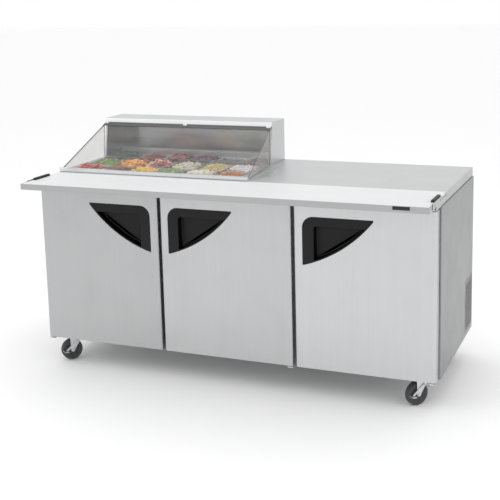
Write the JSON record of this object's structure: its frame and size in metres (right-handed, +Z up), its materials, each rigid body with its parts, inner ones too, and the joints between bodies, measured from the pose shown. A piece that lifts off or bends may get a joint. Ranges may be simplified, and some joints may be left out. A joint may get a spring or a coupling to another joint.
{
  "type": "sandwich prep table",
  "caption": "Refrigerated sandwich prep table: steel cabinet with hinged doors, clear lid over food pans, full-width cutting board, on swivel casters.",
  "frame": {"origin": "on the floor, centred on the overall width and depth", "axes": "+X to the right of someone facing the doors, +Y to the back, +Z up"},
  "size_m": [1.845, 0.911, 1.095],
  "materials": {
    "cabinet_steel": "satin",
    "door_steel": "satin",
    "door_inner_panel": "satin",
    "handle_black": "satin",
    "gasket_rubber": "matte",
    "worktop_steel": "satin",
    "pan_steel": "satin",
    "hood_steel": "satin",
    "tray_steel": "satin",
    "board_plastic": "matte",
    "clip_black": "satin",
    "lid_clear": "gloss",
    "lid_metal": "satin",
    "hinge_steel": "satin",
    "shelf_wire": "gloss",
    "coil_aluminium": "satin",
    "fan_plastic": "satin",
    "machine_black": "satin",
    "grille_steel": "satin",
    "inlet_black": "satin",
    "caster_zinc": "satin",
    "wheel_rubber": "matte"
  },
  "bodies": {
    "cabinet": {"air_divider": "worktop_steel", "back_panel": "cabinet_steel", "board_brackets": "tray_steel", "board_clips": "clip_black", "board_tray": "tray_steel", "cabinet_floor": "cabinet_steel", "caster_plates": "caster_zinc", "compressor": "machine_black", "condenser_coil": "coil_aluminium", "condenser_motor": "machine_black", "display_strip": "clip_black", "evaporator_unit": "coil_aluminium", "front_pans": "pan_steel", "front_top_rail": "cabinet_steel", "hinge_brackets": "hinge_steel", "hood_shell": "hood_steel", "left_side_panel": "cabinet_steel", "lid_collar": "worktop_steel", "lid_knuckles": "lid_metal", "machine_housing": "cabinet_steel", "middle_pans": "pan_steel", "mullions": "cabinet_steel", "pan_rest_bars": "worktop_steel", "pan_well": "worktop_steel", "power_inlet": "inlet_black", "rear_air_duct": "worktop_steel", "rear_pans": "pan_steel", "right_side_panel": "cabinet_steel", "shelf_clips": "hinge_steel", "vent_grille": "grille_steel", "wire_shelves": "shelf_wire", "worktop": "worktop_steel"},
    "left_door": {"left_door_skin": "door_steel", "left_door_inner": "door_inner_panel", "left_door_handle": "handle_black", "left_door_gasket": "gasket_rubber"},
    "middle_door": {"middle_door_skin": "door_steel", "middle_door_inner": "door_inner_panel", "middle_door_handle": "handle_black", "middle_door_gasket": "gasket_rubber"},
    "right_door": {"right_door_skin": "door_steel", "right_door_inner": "door_inner_panel", "right_door_handle": "handle_black", "right_door_gasket": "gasket_rubber"},
    "lid": {"lid_glass": "lid_clear", "lid_hinge_rod": "lid_metal", "lid_rail": "lid_metal"},
    "board": {"cutting_board": "board_plastic"},
    "evaporator_fan": {"evaporator_fan": "fan_plastic"},
    "condenser_fan": {"condenser_fan": "fan_plastic"},
    "front_left_caster": {"front_left_fork": "caster_zinc"},
    "front_left_wheel": {"front_left_wheel": "wheel_rubber"},
    "front_right_caster": {"front_right_fork": "caster_zinc"},
    "front_right_wheel": {"front_right_wheel": "wheel_rubber"},
    "rear_left_caster": {"rear_left_fork": "caster_zinc"},
    "rear_left_wheel": {"rear_left_wheel": "wheel_rubber"},
    "rear_right_caster": {"rear_right_fork": "caster_zinc"},
    "rear_right_wheel": {"rear_right_wheel": "wheel_rubber"},
    "front_left_brake": {"front_left_brake": "caster_zinc"},
    "front_right_brake": {"front_right_brake": "caster_zinc"}
  },
  "joints": [
    {"name": "left_door_hinge", "type": "hinge", "parent": "cabinet", "child": "left_door", "pos_m": [-0.9005, -0.2925, 0.49], "axis": [0, 0, -1], "range_deg": [0, 100]},
    {"name": "middle_door_hinge", "type": "hinge", "parent": "cabinet", "child": "middle_door", "pos_m": [0.2905, -0.2925, 0.49], "axis": [0, 0, 1], "range_deg": [0, 100]},
    {"name": "right_door_hinge", "type": "hinge", "parent": "cabinet", "child": "right_door", "pos_m": [0.9005, -0.2925, 0.49], "axis": [0, 0, 1], "range_deg": [0, 100]},
    {"name": "lid_hinge", "type": "hinge", "parent": "cabinet", "child": "lid", "pos_m": [-0.4525, 0.2815, 1.071], "axis": [-1, 0, 0], "range_deg": [0, 100]},
    {"name": "board_lift", "type": "slide", "parent": "cabinet", "child": "board", "axis": [0, 0, 1], "range_m": [0, 0.06]},
    {"name": "evaporator_fan_spin", "type": "hinge", "parent": "cabinet", "child": "evaporator_fan", "pos_m": [0.581, 0.2855, 0.526], "axis": [0, 1, 0], "continuous": true},
    {"name": "condenser_fan_spin", "type": "hinge", "parent": "cabinet", "child": "condenser_fan", "pos_m": [0.7845, 0.3395, 0.259], "axis": [1, 0, 0], "continuous": true},
    {"name": "front_left_swivel", "type": "hinge", "parent": "cabinet", "child": "front_left_caster", "pos_m": [-0.835, -0.1965, 0.12], "axis": [0, 0, 1], "continuous": true},
    {"name": "front_left_roll", "type": "hinge", "parent": "front_left_caster", "child": "front_left_wheel", "pos_m": [-0.853, -0.21795, 0.05], "axis": [0.766, -0.6428, 0], "continuous": true},
    {"name": "front_left_brake_press", "type": "hinge", "parent": "front_left_caster", "child": "front_left_brake", "pos_m": [-0.82225, -0.21242, 0.088], "axis": [0.766, -0.6428, 0], "range_deg": [0, 10]},
    {"name": "front_right_swivel", "type": "hinge", "parent": "cabinet", "child": "front_right_caster", "pos_m": [0.835, -0.1965, 0.12], "axis": [0, 0, 1], "continuous": true},
    {"name": "front_right_roll", "type": "hinge", "parent": "front_right_caster", "child": "front_right_wheel", "pos_m": [0.817, -0.21795, 0.05], "axis": [0.766, -0.6428, 0], "continuous": true},
    {"name": "front_right_brake_press", "type": "hinge", "parent": "front_right_caster", "child": "front_right_brake", "pos_m": [0.84775, -0.21242, 0.088], "axis": [0.766, -0.6428, 0], "range_deg": [0, 10]},
    {"name": "rear_left_swivel", "type": "hinge", "parent": "cabinet", "child": "rear_left_caster", "pos_m": [-0.835, 0.3655, 0.12], "axis": [0, 0, 1], "continuous": true},
    {"name": "rear_left_roll", "type": "hinge", "parent": "rear_left_caster", "child": "rear_left_wheel", "pos_m": [-0.853, 0.34405, 0.05], "axis": [0.766, -0.6428, 0], "continuous": true},
    {"name": "rear_right_swivel", "type": "hinge", "parent": "cabinet", "child": "rear_right_caster", "pos_m": [0.835, 0.3655, 0.12], "axis": [0, 0, 1], "continuous": true},
    {"name": "rear_right_roll", "type": "hinge", "parent": "rear_right_caster", "child": "rear_right_wheel", "pos_m": [0.817, 0.34405, 0.05], "axis": [0.766, -0.6428, 0], "continuous": true}
  ]
}
